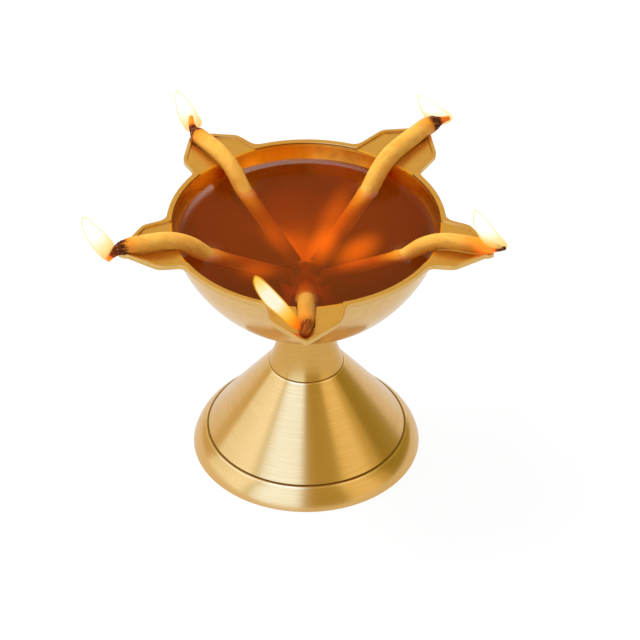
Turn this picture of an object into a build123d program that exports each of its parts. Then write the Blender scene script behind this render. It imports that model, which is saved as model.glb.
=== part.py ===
from build123d import *
from math import asin, atan2, cos, hypot, radians, sin, sqrt, tan
import os

# Five-wick brass aarti lamp. Millimetres, +Z up, the lamp's axis is Z, the foot stands
# on Z = 0, and the front spout points along -Y.

# Foot ring
FOOT_H = 5.8
FOOT_FLARE = 4.0  # the ring's base stands this far out past the cone's
FOOT_STEP = 0.3  # the ring stands this proud of the cone above it
FOOT_BULGE = 0.6  # outward bow of the ring's flank
FOOT_EASE = 0.3

# Pedestal cone, a turned shell with a solid web at the top
CONE_H = 21.1
CONE_BASE_R = 25.7
CONE_WALL = 1.5
CONE_WEB_T = 4.4
CONE_SHOULDER = 0.7  # width of the cone's edge that rests on the foot ring
CONE_SPIGOT_H = 1.8  # length of the cone's skirt inside the foot ring
REGISTER_H = 2.5  # pip on the cone's top that centres the neck

# Neck
NECK_H = 14.1
NECK_BASE_R = 9.7
NECK_TOP_R = 7.0
NECK_HOLLOW = 0.8  # inward bow of the neck's flank

# Bowl
BOWL_H = 30.6  # seat on the neck to the rim's top
RIM_INNER_R = 34.0
BOWL_WALL = 0.9
BOWL_ARC_R = 41.4  # radius of the outside's profile
BOWL_FLOOR_R = 6.0
RIM_LIP_W = 1.3
RIM_LIP_T = 1.2
BOSS_R = 5.5
BOSS_LEN = 7.0

# Spouts, measured outward from the rim lip
SIDE_PITCH = 75.5  # front spout to each side spout, degrees about the axis
BACK_PITCH = 142.0  # front spout to each back spout
SPOUT_LEN = 13.3
SPOUT_DRAWN = {  # how much further out the maker drew each spout than the shortest
    "front": 0.0,
    "right": 0.0,
    "back_right": 3.0,
    "back_left": 0.0,
    "left": 0.0,
}
SPOUT_ROOT_IN = 3.0  # spouts start this far inside the bowl's mouth
SPOUT_SHOULDER = 5.0
SPOUT_ROOT_HALF = 10.2
SPOUT_SHOULDER_HALF = 8.8
SPOUT_ROOT_FILLET = 3.0
SPOUT_SHOULDER_FILLET = 3.5
SPOUT_TIP_FILLET = 0.6
SPOUT_LAND = 0.9  # flat edge left round the trough
TROUGH_STEP = 0.35  # drop from the land to the trough's edge
TROUGH_DEPTH = 0.7  # further fall of the trough's V from its edge to its middle
KEEL_WALL = 0.9

# Wicks
WICK_D = 4.7
WICK_LIFT = 0.9  # wick's axis above the rim's top, where it lies in the spout
WICK_GAP = 0.25
WICK_BEND_R = 14.0
WICK_BEND_OUT = 4.5  # the bend ends this far outside the bowl's mouth
WICK_HEEL_GAP = 0.9  # between neighbours where they meet at the bowl's floor
WICK_HEEL_LIFT = 0.4
WICK_TIP_D = 1.5
WICK_CHAR = 4.0  # shortest charred taper, and the spout's tip lies this far past its start
WICK_PAST_TIP = {  # how far each wick stands past its spout's tip
    "front": -2.9,
    "right": 3.2,
    "back_right": 2.4,
    "back_left": 2.2,
    "left": 2.6,
}

# Flames
FLAME_D = 4.8
FLAME_SIDES = 12
FLAME_FLANK = (  # the flank, as shares of the half-width and of the length
    (0.15, 0.00),
    (0.72, 0.10),
    (1.00, 0.32),
    (0.86, 0.56),
    (0.47, 0.80),
    (0.06, 1.00),
)
FLAME_ROOT_BACK = 3.4  # the flame's foot lies this far inside the wick's end
FLAME_ROOT_DROP = 1.1  # and this far under the wick's axis
FLAME_GAP = 0.1
FLAME_LEN = {
    "front": 20.2,
    "right": 13.2,
    "back_right": 11.3,
    "back_left": 14.7,
    "left": 14.4,
}
FLAME_LEAN = {  # degrees from upright, towards -X, that the draught gives each
    "front": 40,
    "right": 22,
    "back_right": 12,
    "back_left": 17,
    "left": 40,
}

# Oil
OIL_DROP = 5.2  # rim's top down to the oil
OIL_FILM = 0.1

# Tie rod, washer and nut that draw the bowl, neck and cone together
ROD_D = 6.0
ROD_COVER = 2.0  # bowl metal left over the rod's end
ROD_PROUD = 1.6  # rod past the nut
ROD_GAP = 0.1
WASHER_D = 14.0
WASHER_T = 1.2
NUT_FLATS = 10.0
NUT_H = 5.0
FIT = 0.1  # radial clearance of every register
SEAM_EASE = 0.2  # eased corners that show each seam as a fine line
SAME_PLACE = 0.001  # corners nearer than this to a circle lie on it

# Heights of the stacked pieces
CONE_Z = FOOT_H
NECK_Z = CONE_Z + CONE_H
SEAT_Z = NECK_Z + NECK_H
RIM_Z = SEAT_Z + BOWL_H
OIL_Z = RIM_Z - OIL_DROP
WEB_Z = NECK_Z - CONE_WEB_T

# Centre of the bowl's profile: an arc from the rim's outside to the neck's top
RIM_OUTER_R = RIM_INNER_R + BOWL_WALL
CHORD = hypot(RIM_OUTER_R - NECK_TOP_R, BOWL_H)
CHORD_RISE = sqrt(BOWL_ARC_R**2 - (CHORD / 2) ** 2)
ARC_R0 = (RIM_OUTER_R + NECK_TOP_R) / 2 - CHORD_RISE * BOWL_H / CHORD
ARC_Z0 = (RIM_Z + SEAT_Z) / 2 + CHORD_RISE * (RIM_OUTER_R - NECK_TOP_R) / CHORD


def bowl_radius(z, inset):
    """Radius of the bowl's profile at a height, moved in by inset from the outside."""
    return ARC_R0 + sqrt((BOWL_ARC_R - inset) ** 2 - (z - ARC_Z0) ** 2)


def bowl_height(r, inset):
    """Height of the bowl's profile at a radius, moved in by inset from the outside."""
    return ARC_Z0 - sqrt((BOWL_ARC_R - inset) ** 2 - (r - ARC_R0) ** 2)


def cone_radius(z):
    """Outer radius of the pedestal cone at a height."""
    return CONE_BASE_R - (CONE_BASE_R - NECK_BASE_R) * (z - CONE_Z) / CONE_H


FLOOR_Z = bowl_height(BOWL_FLOOR_R, BOWL_WALL)
ROD_TOP = FLOOR_Z - ROD_COVER
LIP_R = RIM_INNER_R + RIM_LIP_W
TIP_R = LIP_R + SPOUT_LEN
SHOULDER_R = LIP_R + SPOUT_SHOULDER
ROOT_R = RIM_INNER_R - SPOUT_ROOT_IN
SPIGOT_R = CONE_BASE_R - CONE_SHOULDER
FOOT_R = CONE_BASE_R + FOOT_FLARE

BEARINGS = {
    "front": -90,
    "right": -90 + SIDE_PITCH,
    "back_right": -90 + BACK_PITCH,
    "back_left": -90 - BACK_PITCH,
    "left": -90 - SIDE_PITCH,
}

# Wick route in the plane of its spout, as radius and height: from a heel by the bowl's
# floor, straight up to a bend that ends outside the bowl's mouth, then along the spout
WICK_R = WICK_D / 2
NEAREST = min(SIDE_PITCH, BACK_PITCH - SIDE_PITCH, 360 - 2 * BACK_PITCH)
HEEL_R = (WICK_D + WICK_HEEL_GAP) / (2 * sin(radians(NEAREST / 2)))
HEEL_Z = FLOOR_Z + WICK_R + WICK_HEEL_LIFT
RUN_Z = RIM_Z + WICK_LIFT
BEND_END_R = RIM_INNER_R + WICK_BEND_OUT
TO_BEND = (BEND_END_R - HEEL_R, RUN_Z - WICK_BEND_R - HEEL_Z)
DIP = atan2(TO_BEND[1], TO_BEND[0]) + asin(WICK_BEND_R / hypot(*TO_BEND))
CREST_R = BEND_END_R - WICK_BEND_R * tan(DIP / 2)
STRAIGHT_LEN = sqrt(hypot(*TO_BEND) ** 2 - WICK_BEND_R**2)  # heel to the bend
WICK_END = {spot: TIP_R + SPOUT_DRAWN[spot] + past for spot, past in WICK_PAST_TIP.items()}

os.makedirs("parts", exist_ok=True)

# Foot ring: a wedge-shaped band with a straight bore that takes the cone's skirt
with BuildPart() as foot_ring:
    with BuildSketch(Plane.XZ):
        with BuildLine():
            Polyline(
                (CONE_BASE_R + FOOT_STEP, FOOT_H),
                (SPIGOT_R + FIT, FOOT_H),
                (SPIGOT_R + FIT, 0),
                (FOOT_R, 0),
            )
            SagittaArc((FOOT_R, 0), (CONE_BASE_R + FOOT_STEP, FOOT_H), -FOOT_BULGE)
        make_face()
    revolve(axis=Axis.Z)
    chamfer(foot_ring.edges().group_by(Axis.Z)[0], FOOT_EASE)
    chamfer(foot_ring.edges().group_by(Axis.Z)[-1].sort_by(SortBy.RADIUS)[-1], SEAM_EASE)
foot_ring.part.label = "foot_ring"
export_step(foot_ring.part, "parts/foot_ring.step")

# Pedestal cone: shell, web with the rod's hole, skirt below and centring pip above
CONE_SLANT = hypot(CONE_BASE_R - NECK_BASE_R, CONE_H) / CONE_H
CONE_WALL_ACROSS = CONE_WALL * CONE_SLANT
with BuildPart() as pedestal_cone:
    with BuildSketch(Plane.XZ):
        with BuildLine():
            Polyline(
                (ROD_D / 2 + ROD_GAP, WEB_Z),
                (cone_radius(WEB_Z) - CONE_WALL_ACROSS, WEB_Z),
                (CONE_BASE_R - CONE_WALL_ACROSS, CONE_Z),
                (CONE_BASE_R - CONE_WALL_ACROSS, CONE_Z - CONE_SPIGOT_H),
                (SPIGOT_R, CONE_Z - CONE_SPIGOT_H),
                (SPIGOT_R, CONE_Z),
                (CONE_BASE_R, CONE_Z),
                (NECK_BASE_R, NECK_Z),
                (BOSS_R, NECK_Z),
                (BOSS_R, NECK_Z + REGISTER_H),
                (ROD_D / 2 + ROD_GAP, NECK_Z + REGISTER_H),
                close=True,
            )
        make_face()
    revolve(axis=Axis.Z)
    rims = pedestal_cone.edges().filter_by(GeomType.CIRCLE)
    under_neck = rims.group_by(Axis.Z)[-2].sort_by(SortBy.RADIUS)[-1]
    over_foot = rims.sort_by(SortBy.RADIUS)[-1]
    chamfer([under_neck, over_foot], SEAM_EASE)
pedestal_cone.part.label = "pedestal_cone"
export_step(pedestal_cone.part, "parts/pedestal_cone.step")

# Neck: a waisted sleeve, bored for the cone's pip below and the bowl's boss above
with BuildPart() as neck_collar:
    with BuildSketch(Plane.XZ):
        with BuildLine():
            Polyline(
                (NECK_BASE_R, NECK_Z),
                (BOSS_R + FIT, NECK_Z),
                (BOSS_R + FIT, SEAT_Z),
                (NECK_TOP_R, SEAT_Z),
            )
            SagittaArc((NECK_TOP_R, SEAT_Z), (NECK_BASE_R, NECK_Z), -NECK_HOLLOW)
        make_face()
    revolve(axis=Axis.Z)
    chamfer(neck_collar.edges().group_by(Axis.Z)[0].sort_by(SortBy.RADIUS)[-1], SEAM_EASE)
neck_collar.part.label = "neck_collar"
export_step(neck_collar.part, "parts/neck_collar.step")

# A spout's plan, along +X: straight sides to a rounded shoulder, then a pointed tip
def petal(drawn, land):
    """Plan of a spout that is drawn out by a length, moved in by a land all round."""
    with BuildSketch() as plan:
        with BuildLine():
            Polyline(
                (ROOT_R, -SPOUT_ROOT_HALF),
                (SHOULDER_R + drawn, -SPOUT_SHOULDER_HALF),
                (TIP_R + drawn, 0),
                (SHOULDER_R + drawn, SPOUT_SHOULDER_HALF),
                (ROOT_R, SPOUT_ROOT_HALF),
                close=True,
            )
        make_face()
        by_reach = plan.vertices().group_by(Axis.X)
        fillet(by_reach[1], SPOUT_SHOULDER_FILLET)
        fillet(plan.vertices().sort_by(Axis.X)[-1], SPOUT_TIP_FILLET)
        if land > 0:
            offset(amount=-land, mode=Mode.REPLACE)
    return plan.sketch


# A wick over the rim along +X, with its outer end drawn to a charred tip. Grown by a gap
# it is the room that a neighbour leaves for it
def bent_cord(spot, grow):
    """The wick of one spout, with its surface moved out by grow."""
    end = WICK_END[spot]
    taper = min(TIP_R + SPOUT_DRAWN[spot], end) - WICK_CHAR
    with BuildPart() as cord:
        with BuildLine(Plane.XZ) as route:
            FilletPolyline((HEEL_R, HEEL_Z), (CREST_R, RUN_Z), (taper, RUN_Z), radius=WICK_BEND_R)
        with BuildSketch(Plane(origin=route.line @ 0, x_dir=(0, 1, 0), z_dir=route.line % 0)):
            Circle(WICK_R + grow)
        sweep()
        with BuildSketch(Plane.XZ):
            with BuildLine():
                Polyline(
                    (taper, RUN_Z),
                    (taper, RUN_Z + WICK_R + grow),
                    (end + grow, RUN_Z + WICK_TIP_D / 2 + grow),
                    (end + grow, RUN_Z),
                    close=True,
                )
            make_face()
        revolve(axis=Axis((0, 0, RUN_Z), (1, 0, 0)))
    return cord.part


def vee(x, top, edge, middle):
    """Five-sided section of a V at x, with its flat top, its edges and its middle."""
    with BuildSketch(Plane.YZ.offset(x)) as section:
        with BuildLine():
            Polyline(
                (-SPOUT_ROOT_HALF, top),
                (-SPOUT_ROOT_HALF, edge),
                (0, middle),
                (SPOUT_ROOT_HALF, edge),
                (SPOUT_ROOT_HALF, top),
                close=True,
            )
        make_face()
    return section.sketch


# Each spout is made along +X with the rim's top at Z = 0. Its underside is a shallow V that
# dies away at the tip, with a keel under the wick. Its trough is a V inside the land, and
# the groove that the wick lies in
spouts = {}
troughs = {}
for spot, drawn in SPOUT_DRAWN.items():
    with BuildPart() as spout:
        add(vee(ROOT_R, 0, -RIM_LIP_T, -RIM_LIP_T - TROUGH_DEPTH))
        add(vee(TIP_R + drawn, 0, -RIM_LIP_T, -RIM_LIP_T - TROUGH_STEP / 4))
        loft(ruled=True)
        with Locations((0, 0, -RIM_Z)):
            add(bent_cord(spot, WICK_GAP + KEEL_WALL))
        add(petal(drawn, 0))
        extrude(amount=-2 * WICK_D, mode=Mode.INTERSECT)
    spouts[spot] = spout.part
    with BuildPart() as trough:
        add(vee(ROOT_R, WICK_D, -TROUGH_STEP, -TROUGH_STEP - TROUGH_DEPTH))
        add(vee(TIP_R + drawn, WICK_D, -TROUGH_STEP, -TROUGH_STEP - TROUGH_STEP / 4))
        loft(ruled=True)
        add(petal(drawn, SPOUT_LAND))
        extrude(amount=WICK_D, both=True, mode=Mode.INTERSECT)
        with Locations((0, 0, -RIM_Z)):
            add(bent_cord(spot, WICK_GAP))
    troughs[spot] = trough.part

# Bowl: turned outside, rim lip with five spouts, boss below, then the inside cut away
with BuildSketch(Plane.XY.offset(RIM_Z)) as rim_plan:
    Circle(LIP_R)
    for spot, bearing in BEARINGS.items():
        add(petal(SPOUT_DRAWN[spot], 0), rotation=bearing)
    roots = rim_plan.vertices().filter_by(lambda v: abs(hypot(v.X, v.Y) - LIP_R) < SAME_PLACE)
    fillet(roots, SPOUT_ROOT_FILLET)

with BuildPart() as bowl:
    with BuildSketch(Plane.XZ):
        with BuildLine():
            Line((0, RIM_Z), (0, SEAT_Z))
            Line((0, SEAT_Z), (NECK_TOP_R, SEAT_Z))
            RadiusArc((NECK_TOP_R, SEAT_Z), (RIM_OUTER_R, RIM_Z), -BOWL_ARC_R)
            Line((RIM_OUTER_R, RIM_Z), (0, RIM_Z))
        make_face()
    revolve(axis=Axis.Z)
    add(rim_plan.sketch)
    extrude(amount=-RIM_LIP_T)
    for spot, bearing in BEARINGS.items():
        with Locations((0, 0, RIM_Z)):
            add(spouts[spot], rotation=(0, 0, bearing))
    with BuildSketch(Plane.XY.offset(SEAT_Z - BOSS_LEN)):
        Circle(BOSS_R)
    extrude(until=Until.NEXT)
    with BuildSketch(Plane.XZ):
        with BuildLine():
            Line((0, FLOOR_Z), (BOWL_FLOOR_R, FLOOR_Z))
            RadiusArc((BOWL_FLOOR_R, FLOOR_Z), (RIM_INNER_R, RIM_Z), -(BOWL_ARC_R - BOWL_WALL))
            Polyline((RIM_INNER_R, RIM_Z), (RIM_INNER_R, RIM_Z + WICK_D), (0, RIM_Z + WICK_D), (0, FLOOR_Z))
        make_face()
    revolve(axis=Axis.Z, mode=Mode.SUBTRACT)
    for spot, bearing in BEARINGS.items():
        with Locations((0, 0, RIM_Z)):
            add(troughs[spot], rotation=(0, 0, bearing), mode=Mode.SUBTRACT)
    with BuildSketch(Plane.XY.offset(SEAT_Z - BOSS_LEN)):
        Circle(ROD_D / 2 + ROD_GAP)
    extrude(amount=ROD_TOP - SEAT_Z + BOSS_LEN, mode=Mode.SUBTRACT)
bowl.part.label = "bowl"
export_step(bowl.part, "parts/bowl.step")

# Oil: fills the bowl to its level, with a channel round each wick
RUN_DIR = (cos(DIP), 0, sin(DIP))
with BuildPart() as wick_channel:
    with BuildSketch(
        Plane(
            origin=(HEEL_R - WICK_GAP * cos(DIP), 0, HEEL_Z - WICK_GAP * sin(DIP)),
            x_dir=(0, 1, 0),
            z_dir=RUN_DIR,
        )
    ):
        Circle(WICK_R + WICK_GAP)
    extrude(amount=2 * BOWL_H)

with BuildPart() as oil:
    with BuildSketch(Plane.XZ):
        with BuildLine():
            inset = BOWL_WALL + OIL_FILM
            floor_z = FLOOR_Z + OIL_FILM
            floor_r = bowl_radius(floor_z, inset)
            level_r = bowl_radius(OIL_Z, inset)
            Line((0, floor_z), (floor_r, floor_z))
            RadiusArc((floor_r, floor_z), (level_r, OIL_Z), -(BOWL_ARC_R - inset))
            Polyline((level_r, OIL_Z), (0, OIL_Z), (0, floor_z))
        make_face()
    revolve(axis=Axis.Z)
    for bearing in BEARINGS.values():
        add(wick_channel.part, rotation=(0, 0, bearing), mode=Mode.SUBTRACT)
oil.part.label = "oil"
export_step(oil.part, "parts/oil.step")

# Wicks: each turned to its spout
for spot, bearing in BEARINGS.items():
    with BuildPart() as wick:
        add(bent_cord(spot, 0), rotation=(0, 0, bearing))
    wick.part.label = f"wick_{spot}"
    export_step(wick.part, f"parts/wick_{spot}.step")
    length = STRAIGHT_LEN + WICK_BEND_R * DIP + WICK_END[spot] - BEND_END_R
    print(spot, "wick length", round(length, 1))

# Flames: a leaf-shaped body at each wick's end, laid over by the draught
for spot, bearing in BEARINGS.items():
    length = FLAME_LEN[spot]
    root_r = WICK_END[spot] - FLAME_ROOT_BACK
    root = (root_r * cos(radians(bearing)), root_r * sin(radians(bearing)), RUN_Z - FLAME_ROOT_DROP)
    with BuildPart() as leaf:
        for wide, high in FLAME_FLANK:
            with BuildSketch(Plane.XY.offset(high * length)):
                RegularPolygon(wide * FLAME_D / 2, FLAME_SIDES)
        loft(ruled=True)
    with BuildPart() as flame:
        with Locations(root):
            add(leaf.part, rotation=(0, -FLAME_LEAN[spot], 0))
        add(bent_cord(spot, FLAME_GAP), rotation=(0, 0, bearing), mode=Mode.SUBTRACT)
    flame.part.label = f"flame_{spot}"
    export_step(flame.part, f"parts/flame_{spot}.step")

# Tie rod: screwed into the bowl's boss, down through the neck and the cone's web
NUT_Z = WEB_Z - WASHER_T - NUT_H
with BuildPart() as tie_rod:
    with BuildSketch(Plane.XY.offset(NUT_Z - ROD_PROUD)):
        Circle(ROD_D / 2)
    extrude(amount=ROD_TOP - NUT_Z + ROD_PROUD)
    chamfer(tie_rod.edges().group_by(Axis.Z)[0], ROD_D / 10)
tie_rod.part.label = "tie_rod"
export_step(tie_rod.part, "parts/tie_rod.step")

with BuildPart() as clamp_washer:
    with BuildSketch(Plane.XY.offset(WEB_Z)):
        Circle(WASHER_D / 2)
        Circle(ROD_D / 2 + ROD_GAP, mode=Mode.SUBTRACT)
    extrude(amount=-WASHER_T)
clamp_washer.part.label = "clamp_washer"
export_step(clamp_washer.part, "parts/clamp_washer.step")

with BuildPart() as clamp_nut:
    with BuildSketch(Plane.XY.offset(NUT_Z)):
        RegularPolygon(NUT_FLATS / 2, 6, major_radius=False)
        Circle(ROD_D / 2 + ROD_GAP, mode=Mode.SUBTRACT)
    extrude(amount=NUT_H)
clamp_nut.part.label = "clamp_nut"
export_step(clamp_nut.part, "parts/clamp_nut.step")
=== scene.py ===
"""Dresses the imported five-wick brass oil lamp with its finishes, oil, cotton wicks, flames and a studio."""
import logging
import math
from dataclasses import dataclass, field
from enum import Enum
from typing import Optional, Union

import bpy
import numpy as np
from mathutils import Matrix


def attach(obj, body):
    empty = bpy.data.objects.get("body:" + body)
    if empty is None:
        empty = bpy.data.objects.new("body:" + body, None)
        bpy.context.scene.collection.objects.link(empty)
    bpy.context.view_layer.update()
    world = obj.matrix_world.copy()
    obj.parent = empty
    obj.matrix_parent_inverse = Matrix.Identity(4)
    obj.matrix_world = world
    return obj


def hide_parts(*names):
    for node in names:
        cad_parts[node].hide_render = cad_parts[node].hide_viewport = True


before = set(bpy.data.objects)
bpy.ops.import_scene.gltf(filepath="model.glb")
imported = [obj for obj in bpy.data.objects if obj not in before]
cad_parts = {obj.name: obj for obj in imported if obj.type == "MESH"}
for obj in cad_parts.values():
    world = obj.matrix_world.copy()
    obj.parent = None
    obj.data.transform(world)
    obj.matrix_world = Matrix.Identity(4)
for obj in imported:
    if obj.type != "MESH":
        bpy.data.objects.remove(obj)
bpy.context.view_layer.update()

LOG = logging.getLogger("lamp")
MM = 0.001
NEAR_AXIS = 1e-6
QUARTER_TURN = 0.25

Socket = bpy.types.NodeSocket
Pair = tuple[float, float]
Vector = tuple[float, float, float]
Colour = tuple[float, float, float]
Value = Union[float, Socket]
Paint = Union[Colour, Socket]
Inputs = dict[str, Union[float, Vector, Socket]]
Stops = tuple[tuple[float, Colour], ...]
Marks = tuple[Pair, ...]
BurnRows = tuple[tuple[float, float, float, float], ...]


class Spot(Enum):
    """The five spouts, each with its bearing about the lamp's axis in degrees from +X."""

    FRONT = -90.0
    RIGHT = -14.5
    BACK_RIGHT = 52.0
    BACK_LEFT = 128.0
    LEFT = 194.5

    @property
    def label(self) -> str:
        """The name that the wick and the flame of this spout carry."""
        return self.name.lower()

    @property
    def angle(self) -> float:
        """The bearing in radians."""
        return math.radians(self.value)

    @property
    def outward(self) -> np.ndarray:
        """Level unit vector from the axis along the spout."""
        return np.array([math.cos(self.angle), math.sin(self.angle), 0.0])

    @property
    def sideways(self) -> np.ndarray:
        """Level unit vector across the spout."""
        return np.array([-math.sin(self.angle), math.cos(self.angle), 0.0])


class Burn(Enum):
    """What the fire does to cotton, each with its column in the rows of a wick's burn."""

    SCORCH = 1
    CHAR = 2
    EMBER = 3

    @property
    def label(self) -> str:
        """The name of the mesh attribute that holds it."""
        return self.name.lower()


@dataclass(frozen=True)
class LampForm:
    """Sizes that the CAD model gives the bowl and the wick's route, in metres."""

    rim_z: float = 71.6 * MM
    seat_z: float = 41.0 * MM
    rim_outer_r: float = 34.9 * MM
    neck_top_r: float = 7.0 * MM
    arc_r: float = 41.4 * MM
    wall: float = 0.9 * MM
    floor_r: float = 6.0 * MM
    oil_z: float = 66.4 * MM
    heel_r: float = 5.107 * MM
    heel_lift: float = 2.75 * MM
    run_z: float = 72.5 * MM
    bend_r: float = 14.0 * MM
    bend_end_r: float = 38.5 * MM

    @property
    def arc_centre(self) -> Pair:
        """Centre of the bowl's outside arc, from the arc's two ends and its radius.

        Returns:
            The centre's radius and height.
        """
        across = self.rim_outer_r - self.neck_top_r
        rise = self.rim_z - self.seat_z
        chord = math.hypot(across, rise)
        off = math.sqrt(self.arc_r**2 - (chord / 2) ** 2)
        r = (self.rim_outer_r + self.neck_top_r) / 2 - off * rise / chord
        z = (self.rim_z + self.seat_z) / 2 + off * across / chord
        return r, z

    def wall_radius(self, z: np.ndarray, inset: float) -> np.ndarray:
        """Radius of the bowl's arc at a height, from the circle's equation.

        Args:
            z: heights.
            inset: distance in from the outside.

        Returns:
            The radii.
        """
        r0, z0 = self.arc_centre
        return r0 + np.sqrt((self.arc_r - inset) ** 2 - (z - z0) ** 2)

    def wall_height(self, r: float, inset: float) -> float:
        """Height of the bowl's arc at a radius, from the circle's equation.

        Args:
            r: the radius.
            inset: distance in from the outside.

        Returns:
            The height.
        """
        r0, z0 = self.arc_centre
        return z0 - math.sqrt((self.arc_r - inset) ** 2 - (r - r0) ** 2)

    @property
    def heel_z(self) -> float:
        """Height of the wicks' heels, over the bowl's floor."""
        return self.wall_height(self.floor_r, self.wall) + self.heel_lift

    @property
    def dip(self) -> float:
        """Slope of a wick's straight run, which leaves the heel as a tangent to the bend's circle.

        Returns:
            The angle below level, in radians.
        """
        across = self.bend_end_r - self.heel_r
        rise = self.run_z - self.bend_r - self.heel_z
        return math.atan2(rise, across) + math.asin(self.bend_r / math.hypot(across, rise))

    def wick_height(self, r: np.ndarray) -> np.ndarray:
        """Height of a wick's middle line at a radius.

        Args:
            r: radii.

        Returns:
            Level along the spout, the bend's circle inside it, and the straight run to the heel below that.
        """
        bend_in = self.bend_end_r - self.bend_r * math.sin(self.dip)
        drop = np.sqrt(np.maximum(self.bend_r**2 - (r - self.bend_end_r) ** 2, 0.0))
        straight = self.heel_z + (r - self.heel_r) * math.tan(self.dip)
        bent = np.where(r < bend_in, straight, self.run_z - self.bend_r + drop)
        return np.where(r > self.bend_end_r, self.run_z, bent)


FORM = LampForm()


class Nodes:
    """A node tree with short calls to add nodes and join them."""

    def __init__(self, tree: bpy.types.NodeTree) -> None:
        """Keeps the tree and empties it.

        Args:
            tree: the node tree of a material or of the world.
        """
        self.tree = tree
        tree.nodes.clear()

    def put(self, target: Socket, value: Union[Value, Vector]) -> None:
        """Joins a socket to the target, or sets a plain value on it.

        Args:
            target: the socket that takes the value.
            value: another node's socket, a number, a vector or a linear colour.
        """
        if isinstance(value, Socket):
            self.tree.links.new(value, target)
        elif target.type == "RGBA":
            target.default_value = (*value, 1.0)
        else:
            target.default_value = value

    def add(self, kind: str, inputs: Optional[Inputs] = None, **settings: object) -> bpy.types.Node:
        """Adds a node.

        Args:
            kind: Blender's name of the node's type.
            inputs: sockets or plain values for its inputs, by their names.
            settings: its properties by name.

        Returns:
            The node.
        """
        node = self.tree.nodes.new(kind)
        for key, value in settings.items():
            setattr(node, key, value)
        for key, value in (inputs or {}).items():
            self.put(node.inputs[key], value)
        return node

    def where(self, kind: str = "Object") -> Socket:
        """The place of a point, from a Texture Coordinate node."""
        return self.add("ShaderNodeTexCoord").outputs[kind]

    def attribute(self, key: str) -> Socket:
        """The value of a mesh attribute."""
        return self.add("ShaderNodeAttribute", attribute_name=key).outputs["Fac"]

    def split(self, vector: Socket) -> tuple[Socket, ...]:
        """The three parts of a vector."""
        return tuple(self.add("ShaderNodeSeparateXYZ", {"Vector": vector}).outputs)

    def combine(self, x: Value, y: Value, z: Value) -> Socket:
        """A vector from three values."""
        return self.add("ShaderNodeCombineXYZ", {"X": x, "Y": y, "Z": z}).outputs["Vector"]

    def math(self, operation: str, a: Value, b: Value = 0.0, clamp: bool = False) -> Socket:
        """One Math node.

        Args:
            operation: Blender's name of the operation.
            a: first operand.
            b: second operand.
            clamp: whether the result is kept between 0 and 1.

        Returns:
            The result's socket.
        """
        node = self.add("ShaderNodeMath", operation=operation, use_clamp=clamp)
        self.put(node.inputs[0], a)
        self.put(node.inputs[1], b)
        return node.outputs[0]

    def times(self, a: Value, b: Value) -> Socket:
        """The product of two values."""
        return self.math("MULTIPLY", a, b)

    def products(self, *pairs: tuple[Value, Value]) -> Socket:
        """Adds up the products of pairs of values.

        Args:
            pairs: the pairs.

        Returns:
            The sum's socket.
        """
        total = self.times(*pairs[0])
        for pair in pairs[1:]:
            total = self.math("ADD", total, self.times(*pair))
        return total

    def band(self, value: Value, low: float, high: float, start: float = 0.0, end: float = 1.0) -> Socket:
        """Smooth step of a value.

        Args:
            value: the value.
            low: the value at which the step begins.
            high: the value at which the step is done.
            start: what is given out before the step.
            end: what is given out after the step.

        Returns:
            The result's socket.
        """
        inputs = {"Value": value, "From Min": low, "From Max": high, "To Min": start, "To Max": end}
        return self.add("ShaderNodeMapRange", inputs, interpolation_type="SMOOTHSTEP").outputs["Result"]

    def line(self, value: Socket, middle: float, half: Pair, strength: float) -> Socket:
        """A soft line along the points where a value is reached.

        Args:
            value: the value.
            middle: the value in the line's middle.
            half: the half-widths between which the line fades out.
            strength: the line's share in its middle.

        Returns:
            The line's share.
        """
        apart = self.math("ABSOLUTE", self.math("SUBTRACT", value, middle))
        return self.band(apart, *half, strength, 0.0)

    def noise(self, vector: Socket, scale: float, detail: float, rough: float) -> Socket:
        """A noise texture.

        Args:
            vector: where it is looked up.
            scale: how many of its cells lie along a unit of the vector.
            detail: its octaves.
            rough: how strongly the finer octaves show.

        Returns:
            The noise's value.
        """
        inputs = {"Vector": vector, "Scale": scale, "Detail": detail, "Roughness": rough}
        return self.add("ShaderNodeTexNoise", inputs).outputs["Fac"]

    def bump(self, height: Socket, strength: float, distance: float) -> Socket:
        """A surface direction that leans with a height."""
        inputs = {"Strength": strength, "Distance": distance, "Height": height}
        return self.add("ShaderNodeBump", inputs).outputs["Normal"]

    def ramp(self, value: Socket, stops: Stops, style: str = "LINEAR") -> Socket:
        """A colour ramp.

        Args:
            value: the socket that is looked up, from 0 to 1.
            stops: places and linear colours, in order.
            style: Blender's name of the interpolation.

        Returns:
            The colour's socket.
        """
        node = self.add("ShaderNodeValToRGB", {"Fac": value})
        node.color_ramp.interpolation = style
        elements = node.color_ramp.elements
        while len(elements) < len(stops):
            elements.new(1.0)
        for element, (place, colour) in zip(elements, stops):
            element.position = place
            element.color = (*colour, 1.0)
        return node.outputs["Color"]

    def mix(self, share: Value, a: Paint, b: Paint, blend: str = "MIX") -> Socket:
        """Mixes two colours.

        Args:
            share: how much of the second colour shows.
            a: first colour.
            b: second colour.
            blend: Blender's name of the way they mix.

        Returns:
            The colour's socket.
        """
        node = self.add("ShaderNodeMix", {"Factor": share}, data_type="RGBA", blend_type=blend)
        colours = [socket for socket in node.inputs if socket.type == "RGBA"]
        for socket, paint in zip(colours, (a, b)):
            self.put(socket, paint)
        return next(socket for socket in node.outputs if socket.type == "RGBA")

    def ray(self, *kinds: str) -> Socket:
        """Tells what kind of ray asks, from the Light Path node.

        Args:
            kinds: names of that node's outputs.

        Returns:
            The largest of them, which is one where the ray is of any of these kinds.
        """
        path = self.add("ShaderNodeLightPath")
        largest = path.outputs[kinds[0]]
        for kind in kinds[1:]:
            largest = self.math("MAXIMUM", largest, path.outputs[kind])
        return largest

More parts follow.
